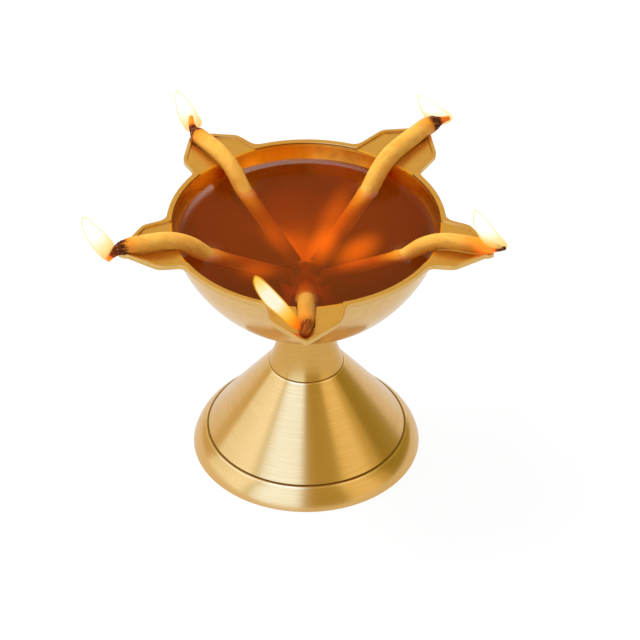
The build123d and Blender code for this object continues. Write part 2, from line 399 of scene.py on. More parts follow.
    def emission(self, **inputs: Value) -> Socket:
        """A shader of plain light, with its Color and Strength."""
        return self.add("ShaderNodeEmission", inputs).outputs["Emission"]

    def principled(self, inputs: Inputs) -> Socket:
        """A Principled shader with its inputs by their names."""
        return self.add("ShaderNodeBsdfPrincipled", inputs).outputs["BSDF"]

    def blend(self, share: Socket, a: Socket, b: Socket) -> Socket:
        """Mixes two shaders.

        Args:
            share: how much of the second shader shows.
            a: first shader.
            b: second shader.

        Returns:
            The shader's socket.
        """
        node = self.add("ShaderNodeMixShader")
        for socket, value in zip(node.inputs, (share, a, b)):
            self.put(socket, value)
        return node.outputs[0]


class Finish:
    """A procedural material with its node tree."""

    def __init__(self, name: str) -> None:
        """Makes an empty material.

        Args:
            name: the material's name.
        """
        self.material = bpy.data.materials.new(name)
        self.material.use_nodes = True
        self.nodes = Nodes(self.material.node_tree)
        self.output = self.nodes.add("ShaderNodeOutputMaterial")

    def done(self, surface: Socket) -> bpy.types.Material:
        """Joins a shader to the material's surface and hands the material over."""
        self.nodes.put(self.output.inputs["Surface"], surface)
        return self.material


@dataclass(frozen=True)
class LathePlace:
    """Sockets that say where a point lies on a turned piece.

    They give its height, its radius, and the two parts of its direction from the axis.
    """

    z: Socket
    r: Socket
    east: Socket
    north: Socket

    @staticmethod
    def read(nodes: Nodes) -> "LathePlace":
        """Works the place out from Object coordinates: r is the root of x squared plus y squared.

        Args:
            nodes: the tree.

        Returns:
            The place.
        """
        x, y, z = nodes.split(nodes.where())
        square = nodes.products((x, x), (y, y))
        r = nodes.math("MAXIMUM", nodes.math("SQRT", square), NEAR_AXIS)
        return LathePlace(z, r, nodes.math("DIVIDE", x, r), nodes.math("DIVIDE", y, r))

    def tool_path(self, nodes: Nodes) -> Socket:
        """The direction that the tool travelled, level and square to the radius."""
        return nodes.combine(nodes.times(self.north, -1.0), self.east, 0.0)

    def step(self, nodes: Nodes, level: float, band: Pair, start: float = 0.0, end: float = 1.0) -> Socket:
        """Smooth step of the height, whose band is counted up from a level."""
        return nodes.band(self.z, level + band[0], level + band[1], start, end)


@dataclass(frozen=True)
class LatheRings:
    """Noise drawn out into rings round the axis.

    It has so many cells along a metre of profile, changes by so much on the way round, and has octaves of
    detail.
    """

    per_metre: float
    turns: float
    detail: float
    rough: float = 0.6

    def value(self, nodes: Nodes, place: LathePlace) -> Socket:
        """The noise at a place, where the height less the radius grows along every turned profile.

        Args:
            nodes: the tree.
            place: the place.

        Returns:
            The noise's value.
        """
        along = nodes.times(nodes.math("SUBTRACT", place.z, place.r), self.per_metre)
        east = nodes.times(place.east, self.turns)
        north = nodes.times(place.north, self.turns)
        return nodes.noise(nodes.combine(along, east, north), 1.0, self.detail, self.rough)


@dataclass(frozen=True)
class TurnedBrass:
    """Satin brass with the lathe's fine rings, and in each seam a dark hairline over a painted highlight
    line.
    """

    name: str
    colour: Colour = (0.77, 0.475, 0.168)
    shade: Colour = (0.68, 0.40, 0.13)
    # Colour of the painted highlight: a light line painted just under each seam, where its chamfer would
    # catch the light.
    light: Colour = (0.95, 0.78, 0.46)
    dark: Colour = (0.12, 0.065, 0.02)
    roughness: float = 0.2
    seams: tuple[float, ...] = ()
    highlight_below: float = 0.3 * MM
    light_half: Pair = (0.04 * MM, 0.12 * MM)
    light_share: float = 0.6
    dark_half: Pair = (0.03 * MM, 0.11 * MM)
    dark_share: float = 0.8
    coarse: LatheRings = LatheRings(2400.0, 1.4, 3.0)
    fine: LatheRings = LatheRings(6500.0, 2.6, 2.0)
    coarse_share: float = 0.55
    shade_band: Pair = (0.36, 0.64)
    shade_share: float = 0.6
    rough_band: Pair = (0.3, 0.7)
    rougher: float = 0.05
    smoother: float = 0.04
    drawn_gloss: float = 0.6
    ring_bump: float = 0.05
    ring_depth: float = 0.03 * MM

    def make(self) -> bpy.types.Material:
        """Builds the material.

        Returns:
            Metal whose colour and roughness follow the rings, with its gloss drawn across them.
        """
        finish = Finish(self.name)
        nodes = finish.nodes
        place = LathePlace.read(nodes)
        rings = nodes.products(
            (self.coarse.value(nodes, place), self.coarse_share),
            (self.fine.value(nodes, place), 1 - self.coarse_share),
        )
        shaded = nodes.band(rings, *self.shade_band, self.shade_share, 0.0)
        colour = nodes.mix(shaded, self.colour, self.shade)
        for seam in self.seams:
            # Painted highlight: a light line just under each seam, with the seam's dark hairline over it.
            painted_highlight = nodes.line(place.z, seam - self.highlight_below, self.light_half, self.light_share)
            gap = nodes.line(place.z, seam, self.dark_half, self.dark_share)
            colour = nodes.mix(gap, nodes.mix(painted_highlight, colour, self.light), self.dark)
        rough, smooth = self.roughness + self.rougher, self.roughness - self.smoother
        return finish.done(nodes.principled({
            "Base Color": colour,
            "Metallic": 1.0,
            "Roughness": nodes.band(rings, *self.rough_band, rough, smooth),
            "Anisotropic": self.drawn_gloss,
            "Anisotropic Rotation": QUARTER_TURN,
            "Tangent": place.tool_path(nodes),
            "Normal": nodes.bump(rings, self.ring_bump, self.ring_depth),
        }))


@dataclass(frozen=True)
class BowlBrass:
    """Brass that is polished outside, satin on the rim and in the spouts, and warm orange inside: oil-wet
    brass with painted reflection of the oil, and a painted shade line under the rim.
    """

    name: str = "brass_bowl_finish"
    outside: Colour = (0.77, 0.48, 0.175)
    # Inner wall's colour: oil-wet brass, made orange as painted reflection of the oil that it faces.
    inside: Colour = (0.97, 0.46, 0.035)
    spouts: Colour = (0.76, 0.465, 0.14)
    # Colour of the painted shade line on the inner wall just under the rim's edge.
    rim_shade_line: Colour = (0.14, 0.05, 0.012)
    inside_top: Pair = (-0.25 * MM, -0.15 * MM)
    inside_half: float = 0.1 * MM
    spout_foot: Pair = (-1.35 * MM, -1.05 * MM)
    line_below: float = 0.3 * MM
    line_half: Pair = (0.06 * MM, 0.18 * MM)
    line_share: float = 0.85
    polished: float = 0.2
    satin: float = 0.3
    drawn_gloss: float = 0.4
    grain_scale: float = 420.0
    grain_band: Pair = (0.3, 0.7)
    grain_tone: Pair = (0.95, 1.03)
    grain_rough: float = 0.1
    edge_r: float = 0.25 * MM

    def in_bowl(self, nodes: Nodes, place: LathePlace) -> Socket:
        """Tells the bowl's inner wall from the rest, by the distance from the centre of the bowl's arc.

        Args:
            nodes: the tree.
            place: the place of a point.

        Returns:
            One on the inner wall below the rim, and nothing elsewhere.
        """
        below_rim = place.step(nodes, FORM.rim_z, self.inside_top, 1.0, 0.0)
        arc_r, arc_z = FORM.arc_centre
        across = nodes.math("SUBTRACT", place.r, arc_r)
        down = nodes.math("SUBTRACT", place.z, arc_z)
        distance = nodes.math("SQRT", nodes.products((across, across), (down, down)))
        mid_wall = FORM.arc_r - FORM.wall / 2
        inner = nodes.band(distance, mid_wall - self.inside_half, mid_wall + self.inside_half, 1.0, 0.0)
        return nodes.times(inner, below_rim)

    def make(self) -> bpy.types.Material:
        """Builds the material.

        Returns:
            Metal whose zones follow the radius and height, with eased edges and a faint grain.
        """
        finish = Finish(self.name)
        nodes = finish.nodes
        place = LathePlace.read(nodes)
        grain = nodes.noise(nodes.where(), self.grain_scale, 3.0, 0.6)
        in_bowl = self.in_bowl(nodes, place)
        on_top = place.step(nodes, FORM.rim_z, self.spout_foot)
        colour = nodes.mix(on_top, self.outside, self.spouts)
        # Inner wall: oil-wet brass with painted reflection of the oil.
        colour = nodes.mix(in_bowl, colour, self.inside)
        # Painted shade: a dark line along the inner wall just under the rim.
        painted_rim_shade = nodes.line(place.z, FORM.rim_z - self.line_below, self.line_half, self.line_share)
        colour = nodes.mix(nodes.times(painted_rim_shade, in_bowl), colour, self.rim_shade_line)
        tone = nodes.band(grain, *self.grain_band, *self.grain_tone)
        colour = nodes.mix(1.0, colour, nodes.combine(tone, tone, tone), "MULTIPLY")
        satin = nodes.band(on_top, 0.0, 1.0, self.polished, self.satin)
        uneven = nodes.times(nodes.math("SUBTRACT", grain, 0.5), self.grain_rough)
        return finish.done(nodes.principled({
            "Base Color": colour,
            "Metallic": 1.0,
            "Roughness": nodes.math("ADD", satin, uneven),
            "Anisotropic": self.drawn_gloss,
            "Anisotropic Rotation": QUARTER_TURN,
            "Tangent": place.tool_path(nodes),
            "Normal": nodes.add("ShaderNodeBevel", {"Radius": self.edge_r}, samples=6).outputs["Normal"],
        }))


@dataclass(frozen=True)
class OilLight:
    """A soft oval of painted light in the oil's surface.

    It has a middle, a half length and half width, a turn of its length from +X in degrees, and a strength.
    """

    middle: Pair
    half: Pair
    turn: float
    strength: float

    def share(self, nodes: Nodes) -> Socket:
        """Strength at a point.

        Args:
            nodes: the tree.

        Returns:
            A smooth step down from the strength in the middle to nothing at the oval's edge.
        """
        oval = nodes.add("ShaderNodeMapping", {
            "Vector": nodes.where(),
            "Location": (*self.middle, FORM.oil_z),
            "Rotation": (0.0, 0.0, math.radians(self.turn)),
            "Scale": (*self.half, 1.0),
        }, vector_type="TEXTURE").outputs["Vector"]
        length = nodes.add("ShaderNodeVectorMath", operation="LENGTH")
        nodes.put(length.inputs[0], oval)
        return nodes.band(length.outputs["Value"], 0.0, 1.0, self.strength, 0.0)


@dataclass(frozen=True)
class LampOil:
    """Amber oil that takes up blue and green light with depth, and gleams where it climbs a wall.

    The flames' light that comes back up through its surface is painted on it as a faint glow and in soft
    ovals.
    """

    name: str = "lamp_oil_finish"
    clear: Colour = (1.0, 0.95, 0.86)
    keeps: Colour = (0.81, 0.69, 0.0)
    density: float = 220.0
    refraction: float = 1.47
    gleam: Colour = (0.05, 0.04, 0.02)
    coat_refraction: float = 1.5
    climb_gleam: float = 0.55
    climb_band: Pair = (0.02, 0.35)
    surface_foot: Pair = (-0.3 * MM, -0.1 * MM)
    glow: Colour = (1.0, 0.15, 0.001)
    mid_glow: float = 0.205
    edge_glow: float = 0.115
    lights: tuple[OilLight, ...] = (
        OilLight((4.2 * MM, -3.0 * MM), (11.0 * MM, 5.0 * MM), 80.0, 0.58),
        OilLight((7.0 * MM, 9.0 * MM), (18.0 * MM, 5.0 * MM), 76.0, 0.33),
        OilLight((12.9 * MM, -5.2 * MM), (11.0 * MM, 6.0 * MM), 55.0, 0.62),
        OilLight((-7.6 * MM, 0.0), (10.0 * MM, 5.0 * MM), -66.0, 0.16),
        OilLight((-12.2 * MM, -13.8 * MM), (7.0 * MM, 5.0 * MM), 0.0, 0.25),
    )

    def make(self) -> bpy.types.Material:
        """Builds the material.

        Returns:
            A smooth refracting surface that lets lamps through and glows faintly with painted light, over a
            body that absorbs light.
        """
        finish = Finish(self.name)
        nodes = finish.nodes
        place = LathePlace.read(nodes)
        # Painted light: the surface's glow, fainter towards the wall and stronger in the ovals.
        strength = nodes.band(place.r, 0.0, FORM.rim_outer_r, self.mid_glow, self.edge_glow)
        for light in self.lights:
            strength = nodes.math("ADD", strength, light.share(nodes))
        on_top = place.step(nodes, FORM.oil_z, self.surface_foot)
        glass = nodes.principled({
            "Base Color": self.clear,
            "Roughness": 0.0,
            "IOR": self.refraction,
            "Transmission Weight": 1.0,
            "Specular Tint": self.gleam,
            "Coat Weight": nodes.band(nodes.attribute("climb"), *self.climb_band, 0.0, self.climb_gleam),
            "Coat IOR": self.coat_refraction,
            "Coat Roughness": 0.0,
            "Emission Color": self.glow,
            "Emission Strength": nodes.times(strength, on_top),
        })
        body = nodes.add("ShaderNodeVolumeAbsorption", {"Color": self.keeps, "Density": self.density})
        nodes.put(finish.output.inputs["Volume"], body.outputs["Volume"])
        open_way = nodes.add("ShaderNodeBsdfTransparent", {"Color": self.clear}).outputs["BSDF"]
        return finish.done(nodes.blend(nodes.ray("Is Shadow Ray"), glass, open_way))


@dataclass(frozen=True)
class SoakedCotton:
    """Twisted cotton, steeped in oil below its level, where a painted glow stands for the oil's light round
    it, and scorched, charred and glowing at its end.
    """

    name: str = "cotton_wick_finish"
    cotton: Colour = (0.93, 0.43, 0.052)
    pale: Colour = (0.98, 0.51, 0.08)
    # Colour of the painted shade in the grooves between the twisted strands.
    furrow_shade: Colour = (0.62, 0.25, 0.03)
    steeped: Colour = (0.56, 0.13, 0.009)
    scorch: Colour = (0.90, 0.29, 0.012)
    char: Colour = (0.075, 0.014, 0.004)
    ash: Colour = (0.42, 0.14, 0.08)
    ember: Colour = (1.0, 0.13, 0.006)
    ember_glow: float = 1.15
    # Colour of the painted glow that the cotton gives off under the oil.
    amber: Colour = (1.0, 0.22, 0.008)
    amber_glow: float = 0.12
    steeped_depth: Pair = (-0.5 * MM, 8.5 * MM)
    amber_depth: Pair = (3.0 * MM, 10.0 * MM)
    heel_depth: Pair = (12.0 * MM, 19.0 * MM)
    mottle_scale: float = 420.0
    mottle_band: Pair = (0.3, 0.7)
    crumb_scale: float = 1400.0
    ash_band: Pair = (0.56, 0.70)
    ash_share: float = 0.8
    fibre_scale: Vector = (22.0, 260.0, 1.0)
    fibre_bump: float = 0.35
    fibre_depth: float = 0.12 * MM
    furrow_shade_band: Pair = (0.28, 0.48)
    furrow_shade_share: float = 0.5
    fibre_share: float = 0.65
    raggedness: float = 3.4
    scorch_raggedness: float = 0.2
    char_band: Pair = (0.1, 0.95)
    roughness: float = 0.5
    gloss: float = 0.3
    char_gloss: float = 0.05
    spread_share: float = 0.2
    spread: float = 1.0 * MM
    spread_by_colour: Vector = (1.0, 0.45, 0.15)

    def make(self) -> bpy.types.Material:
        """Builds the material.

        Returns:
            Soft cotton whose colour follows the wick's burn attributes, broken up by fibre noise.
        """
        finish = Finish(self.name)
        nodes = finish.nodes
        scorch, char, ember = (nodes.attribute(burn.label) for burn in Burn)
        where = nodes.where()
        mottle = nodes.noise(where, self.mottle_scale, 2.0, 0.5)
        crumbs = nodes.noise(where, self.crumb_scale, 3.0, 0.65)
        fibre_map = nodes.add("ShaderNodeMapping", {
            "Vector": nodes.add("ShaderNodeUVMap", uv_map="fibres").outputs["UV"],
            "Scale": self.fibre_scale,
        }).outputs["Vector"]
        fibres = nodes.noise(fibre_map, 1.0, 3.0, 0.6)
        cotton = nodes.mix(nodes.band(mottle, *self.mottle_band), self.cotton, self.pale)
        # Painted shade: darker where the fibre noise is low, in the grooves that the bump sinks.
        painted_furrow_shade = nodes.band(fibres, *self.furrow_shade_band[::-1], 0.0, self.furrow_shade_share)
        cotton = nodes.mix(painted_furrow_shade, cotton, self.furrow_shade)
        depth = nodes.math("SUBTRACT", FORM.oil_z, nodes.split(where)[2])
        cotton = nodes.mix(nodes.band(depth, *self.steeped_depth), cotton, self.steeped)
        above_heel = nodes.band(depth, *self.heel_depth, 1.0, 0.0)
        # Painted light: the cotton a few millimetres under the oil glows, down to above its heel.
        deep = nodes.times(nodes.band(depth, *self.amber_depth), above_heel)
        frayed = nodes.products((fibres, self.fibre_share), (crumbs, 1 - self.fibre_share))
        ragged = nodes.times(nodes.math("SUBTRACT", frayed, 0.5), self.raggedness)
        browned = nodes.math("ADD", scorch, nodes.times(ragged, self.scorch_raggedness), True)
        burnt = nodes.mix(nodes.band(crumbs, *self.ash_band, 0.0, self.ash_share), self.char, self.ash)
        dark = nodes.band(nodes.math("ADD", char, nodes.times(ragged, char)), *self.char_band)
        return finish.done(nodes.principled({
            "Base Color": nodes.mix(dark, nodes.mix(browned, cotton, self.scorch), burnt),
            "Roughness": self.roughness,
            "Specular IOR Level": nodes.band(dark, 0.0, 1.0, self.gloss, self.char_gloss),
            "Subsurface Weight": self.spread_share,
            "Subsurface Scale": self.spread,
            "Subsurface Radius": self.spread_by_colour,
            "Emission Color": nodes.mix(deep, self.ember, self.amber),
            "Emission Strength": nodes.products((ember, self.ember_glow), (deep, self.amber_glow)),
            "Normal": nodes.bump(fibres, self.fibre_bump, self.fibre_depth),
        }))


class Layer(Enum):
    """The nested skins of a flame.

    Each has its share of the flame's width, and the shares of the flame's length where it starts and stops.
    """

    VEIL = (1.0, 0.0, 1.0)
    MANTLE = (0.91, 0.02, 0.97)
    CORE = (0.84, 0.14, 0.95)

    @property
    def width(self) -> float:
        """Share of the flame's full width."""
        return self.value[0]

    @property
    def start(self) -> float:
        """Where the skin starts along the flame."""
        return self.value[1]

    @property
    def stop(self) -> float:
        """Where the skin ends along the flame."""
        return self.value[2]


@dataclass(frozen=True)
class FlameGlow:
    """Light of one skin of a flame, with its colour and its cover by the place along the flame."""

    name: str
    colours: Stops
    covers: Marks
    strength: float = 1.05

    def make(self) -> bpy.types.Material:
        """Builds the material.

        Returns:
            Plain light that is partly see-through.
        """
        finish = Finish(self.name)
        nodes = finish.nodes
        place = nodes.attribute("along")
        light = nodes.emission(Color=nodes.ramp(place, self.colours), Strength=self.strength)
        clear = nodes.add("ShaderNodeBsdfTransparent").outputs["BSDF"]
        grey = tuple((at, (cover, cover, cover)) for at, cover in self.covers)
        return finish.done(nodes.blend(nodes.ramp(place, grey), clear, light))


@dataclass
class Rings:
    """A closed surface of stacked rings with a pole at each end.

    Each ring is a row of points round the surface, and neighbouring rings are joined by quads. The first
    and the last ring close on a pole by triangles. The winding is turned where the signed volume comes out
    negative.
    """

    points: np.ndarray
    first: np.ndarray
    last: np.ndarray
    values: dict[str, np.ndarray] = field(default_factory=dict)

    def faces(self) -> list[list[int]]:
        """Joins the points.

        Returns:
            The quads between the rings and the triangles of both ends, as lists of indices.
        """
        rows, cols = self.points.shape[:2]
        index = np.arange(rows * cols).reshape(rows, cols)
        beside = np.roll(index, -1, axis=1)
        quads = np.stack([index[:-1], beside[:-1], beside[1:], index[1:]], axis=-1).reshape(-1, 4)
        start = np.full(cols, rows * cols)
        lid = np.stack([start, beside[0], index[0]], axis=-1)
        base = np.stack([start + 1, index[-1], beside[-1]], axis=-1)
        triangles = np.concatenate([lid, base])
        if self.volume(quads, triangles) < 0:
            quads = quads[:, ::-1]
            triangles = triangles[:, ::-1]
        return quads.tolist() + triangles.tolist()

    def vertices(self) -> np.ndarray:
        """All points, ring by ring, then the two poles."""
        return np.concatenate([self.points.reshape(-1, 3), self.first[None], self.last[None]])

    def volume(self, quads: np.ndarray, triangles: np.ndarray) -> float:
        """Signed volume, which is the sum of a sixth of each triangle's triple product.

        Args:
            quads: corners of the quads.
            triangles: corners of the triangles.

        Returns:
            The volume, positive where the faces point outwards.
        """
        corners = self.vertices()
        tris = np.concatenate([quads[:, [0, 1, 2]], quads[:, [0, 2, 3]], triangles])
        a, b, c = corners[tris[:, 0]], corners[tris[:, 1]], corners[tris[:, 2]]
        return float(np.einsum("ij,ij->i", a, np.cross(b, c)).sum() / 6)

    def mesh(self, name: str) -> bpy.types.Mesh:
        """Puts the surface into a smooth mesh with its values as point attributes.

        Args:
            name: the mesh's name.

        Returns:
            The mesh.
        """
        data = bpy.data.meshes.new(name)
        data.from_pydata(self.vertices().tolist(), [], self.faces())
        for key, value in self.values.items():
            ends = np.array([value[0].mean(), value[-1].mean()])
            every = np.concatenate([value.reshape(-1), ends]).astype(np.float32)
            data.attributes.new(key, "FLOAT", "POINT").data.foreach_set("value", every)
        data.polygons.foreach_set("use_smooth", np.ones(len(data.polygons), bool))
        data.update()
        return data


def full_turn(columns: int) -> np.ndarray:
    """Angles of that many columns round a full turn, evenly spaced."""
    return np.linspace(0, 2 * math.pi, columns, endpoint=False)


def moving_mean(values: np.ndarray, reach: int, **padding: str) -> np.ndarray:
    """Mean of each value with its neighbours on both sides.

    Args:
        values: a row of values.
        reach: how many neighbours count on each side.
        padding: how the row goes on past its ends, in numpy's words.

    Returns:
        As many means as there are values.
    """
    width = 2 * reach + 1
    return np.convolve(np.pad(values, reach, **padding), np.full(width, 1 / width), mode="valid")


def into_scene(name: str, data: bpy.types.ID) -> bpy.types.Object:
    """Puts a mesh, light or camera into the scene as an object.

    Args:
        name: the object's name.
        data: what it holds.

    Returns:
        The object.
    """
    made = bpy.data.objects.new(name, data)
    bpy.context.scene.collection.objects.link(made)
    return made


def place_piece(
    data: bpy.types.Mesh, material: bpy.types.Material, body: str, node: str
) -> bpy.types.Object:
    """Puts a finished mesh into the scene as a piece that stands for a CAD node.

    Args:
        data: its mesh, already in place, whose name it takes.
        material: its finish.
        body: the CAD body that it rides on.
        node: the CAD node that it replaces.

    Returns:
        The piece.
    """
    piece = into_scene(data.name, data)
    data.materials.append(material)
    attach(piece, body)
    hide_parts(node)
    return piece


@dataclass
class BrassStack:
    """The bowl, neck, cone, foot and hidden fastening, which keep their CAD shapes."""

    neck_seam: float = 26.9 * MM
    foot_seam: float = 5.8 * MM
    # The neck's brass is a darker copy of the turned brass: painted shade for the darker surroundings that it
    # reflects.
    neck_colour: Colour = (0.68, 0.39, 0.10)
    neck_shade: Colour = (0.60, 0.33, 0.078)
    plain_roughness: float = 0.35

    def dress(self) -> list[bpy.types.Object]:
        """Gives every brass node its finish.

        Returns:
            The nodes.
        """
        seams = (self.neck_seam, self.foot_seam)
        turned = TurnedBrass("brass_turned_finish", seams=seams).make()
        # Painted shade: the neck's finish is the turned brass made darker.
        neck = TurnedBrass("brass_neck_painted_shade_finish", self.neck_colour, self.neck_shade, seams=seams).make()
        plain = TurnedBrass("brass_plain_finish", roughness=self.plain_roughness).make()
        finishes = {
            "bowl": BowlBrass().make(),
            "neck_collar": neck,
            "pedestal_cone": turned,
            "foot_ring": turned,
            "tie_rod": plain,
            "clamp_washer": plain,
            "clamp_nut": plain,
        }
        for name, material in finishes.items():
            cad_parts[name].material_slots[0].material = material
        return [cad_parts[name] for name in finishes]


@dataclass
class OilFill:
    """The oil: level in the middle, drawn up the wall and round each wick."""

    rise: float = 0.9 * MM
    reach: float = 0.9 * MM
    wick_rise: float = 0.45 * MM
    wick_r: float = 2.35 * MM
    wick_gleam: float = 0.2
    sunk: float = 0.05 * MM
    columns: int = 420
    top_rows: int = 110
    top_crowding: float = 1.5
    wall_rows: int = 39
    floor_rows: int = 3

    def climb_wall(self, r: np.ndarray, edge: float) -> np.ndarray:
        """Height of the oil over its level by the wall, as an exponential of the distance from the wall.

        Args:
            r: radii.
            edge: the wall's radius where the oil meets it.

        Returns:
            The climb.
        """
        return self.rise * np.exp(-(edge - r) / self.reach)

    def climb_wicks(self, x: np.ndarray, y: np.ndarray) -> np.ndarray:
        """Height of the oil over its level by the wicks, as an exponential of the distance from them.

        Args:
            x: places along X.
            y: places along Y.

        Returns:
            The climb. A wick cuts the level in an ellipse.
        """
        total = np.zeros_like(x)
        centre_r = FORM.heel_r + (FORM.oil_z - FORM.heel_z) / math.tan(FORM.dip)
        for spot in Spot:
            out = x * spot.outward[0] + y * spot.outward[1] - centre_r
            side = x * spot.sideways[0] + y * spot.sideways[1]
            from_wick = np.hypot(out * math.sin(FORM.dip), side) - self.wick_r
            total = np.maximum(total, self.wick_rise * np.exp(-np.maximum(from_wick, 0) / self.reach))
        return total

    def build(self) -> bpy.types.Object:
        """Builds the closed body: out along the top from the axis, down the wall and in along the floor.

        The rows of the top lie closer together towards the wall, by a power of the distance from it.

        Returns:
            The piece.
        """
        turn = full_turn(self.columns)
        top_z = FORM.oil_z + self.rise
        inset = FORM.wall - self.sunk
        edge = float(FORM.wall_radius(np.array(top_z), inset))
        share = np.linspace(0, 1, self.top_rows + 1)[1:]
        top_r = edge * (1 - (1 - share) ** self.top_crowding)
        r = np.repeat(top_r[:, None], self.columns, axis=1)
        x, y = r * np.cos(turn), r * np.sin(turn)
        by_wall, by_wicks = self.climb_wall(r, edge), self.climb_wicks(x, y)
        top = np.stack([x, y, FORM.oil_z + np.maximum(by_wall, by_wicks)], axis=-1)
        floor_z = FORM.wall_height(FORM.floor_r, FORM.wall) - self.sunk
        wall_z = np.linspace(top_z, floor_z, self.wall_rows + 1)[1:]
        wall_r = FORM.wall_radius(wall_z, inset)
        floor_r = wall_r[-1] * np.linspace(1, 0, self.floor_rows + 2)[1:-1]
        side_r = np.concatenate([wall_r, floor_r])[:, None]
        side_z = np.concatenate([wall_z, np.full(self.floor_rows, floor_z)])
        side_z = np.repeat(side_z[:, None], self.columns, axis=1)
        side = np.stack([side_r * np.cos(turn), side_r * np.sin(turn), side_z], axis=-1)
        gleam = by_wall / self.rise + self.wick_gleam * by_wicks / self.wick_rise
        values = {"climb": np.concatenate([gleam, np.zeros_like(side_z)])}
        middle, bottom = np.array([0, 0, FORM.oil_z]), np.array([0, 0, floor_z])
        rings = Rings(np.concatenate([top, side]), middle, bottom, values)
        return place_piece(rings.mesh("oil_fill"), LampOil().make(), "lamp", "oil")


@dataclass
class Wick:
    """One cotton wick, from its heel in the oil over the rim and along its spout to a charred end.

    The bow is how far the burning end has moved, in millimetres. The shape gives the girth as a share at
    distances from that end, in millimetres. Each row of the burn gives such a distance, and how far the
    cotton is scorched, charred and glowing there.
    """

    spot: Spot
    end: float
    bow: Vector
    girth: float
    shape: Marks
    burn: BurnRows
    bow_length: float = 8.0 * MM
    bow_power: int = 4
    blunt: float = 0.6
    mean_reach: int = 4
    strands: int = 5
    strand_pitch: float = 11.0 * MM
    strand_depth: float = 0.008
    lump_wave: float = 700.0
    lumps_round: int = 2
    lump_depth: float = 0.016
    crumb_wave: float = 2600.0
    crumbs_round: tuple[int, int] = (7, 3)
    crumb_depth: float = 0.07
    fibre_pitch: float = 40.0 * MM
    rows: int = 300
    columns: int = 44

    def route(self) -> tuple[np.ndarray, np.ndarray]:
        """The wick's middle line: the CAD route, which bows away with a power of the last stretch.

        Returns:
            The points, and their distances from the burning end.
        """
        r = np.linspace(FORM.heel_r, self.end, self.rows)
        line = r[:, None] * self.spot.outward + FORM.wick_height(r)[:, None] * np.array([0, 0, 1.0])
        bent = np.clip((r - self.end) / self.bow_length + 1, 0, 1) ** self.bow_power
        line = line + bent[:, None] * np.array(self.bow) * MM
        steps = np.linalg.norm(np.diff(line, axis=0), axis=1)
        from_end = np.concatenate([np.cumsum(steps[::-1])[::-1], [0.0]])
        return line, from_end

    def tip(self) -> np.ndarray:
        """The end of the middle line."""
        return self.route()[0][-1]

    def burnt(self, burn: Burn, from_end: np.ndarray) -> np.ndarray:
        """How far the fire has gone, on straight lines between the rows of the burn.

        Args:
            burn: what the fire does.
            from_end: distances from the burning end.

        Returns:
            Shares from 0 to 1, as a column.
        """
        rows = np.array(self.burn)
        return np.interp(from_end, rows[:, 0] * MM, rows[:, burn.value])[:, None]

    def girths(self, from_end: np.ndarray, turn: np.ndarray) -> np.ndarray:
        """Radius of the wick at each ring and column.

        Args:
            from_end: each ring's distance from the burning end.
            turn: each column's angle.

        Returns:
            The shape's share, run through a moving mean, with faint twisted strands, soft lumps and crumbs
            where it is charred. Strands, lumps and crumbs are sines of the length and the angle.
        """
        places, shares = np.array(self.shape).T
        share = moving_mean(np.interp(from_end, places * MM, shares), self.mean_reach, mode="edge")
        along = from_end[:, None]
        phase = self.spot.angle
        twist = along * 2 * math.pi / self.strand_pitch
        strands = self.strand_depth * (np.cos(self.strands * turn + twist) - 1)
        lumps = np.sin(along * self.lump_wave + phase) * np.cos(self.lumps_round * turn + phase)
        many, few = self.crumbs_round
        crumbs = self.crumb_depth * self.burnt(Burn.CHAR, from_end)
        crumbs = crumbs * np.sin(many * turn + along * self.crumb_wave + phase)
        crumbs = crumbs * np.sin(along * 2 * self.crumb_wave - few * turn)
        return self.girth * share[:, None] * (1 + strands + self.lump_depth * lumps + crumbs)

    def build(self, material: bpy.types.Material) -> bpy.types.Object:
        """Carries the round section along the route.

        Args:
            material: the cotton's finish.

        Returns:
            The piece.
        """
        line, from_end = self.route()
        ahead = np.gradient(line, axis=0)
        ahead /= np.linalg.norm(ahead, axis=1)[:, None]
        side = self.spot.sideways - (ahead @ self.spot.sideways)[:, None] * ahead
        side /= np.linalg.norm(side, axis=1)[:, None]
        over = np.cross(ahead, side)
        turn = full_turn(self.columns)
        size = self.girths(from_end, turn)
        ring = np.cos(turn)[None, :, None] * side[:, None] + np.sin(turn)[None, :, None] * over[:, None]
        points = line[:, None] + size[:, :, None] * ring
        values = {burn.label: np.repeat(self.burnt(burn, from_end), self.columns, axis=1) for burn in Burn}
        rings = Rings(points, line[0], line[-1] + ahead[-1] * size[-1].mean() * self.blunt, values)
        node = f"wick_{self.spot.label}"
        data = rings.mesh(f"{node}_cotton")
        self.map_fibres(data, from_end, turn)
        return place_piece(data, material, node, node)

    def map_fibres(self, data: bpy.types.Mesh, from_end: np.ndarray, turn: np.ndarray) -> None:
        """Adds a map whose U runs round the wick with the fibres' twist and whose V is the length.

        Args:
            data: the wick's mesh.
            from_end: each ring's distance from the burning end.
            turn: each column's angle.
        """
        u = turn[None, :] / (2 * math.pi) + from_end[:, None] / self.fibre_pitch
        v = np.repeat(from_end[:, None], len(turn), axis=1)
        every = np.stack([u, v], axis=-1).reshape(-1, 2)
        every = np.concatenate([every, every[:1], every[-1:]])
        corners = np.empty(len(data.loops), np.int32)
        data.loops.foreach_get("vertex_index", corners)
        layer = data.uv_layers.new(name="fibres")
        layer.data.foreach_set("uv", every[corners].astype(np.float32).reshape(-1))


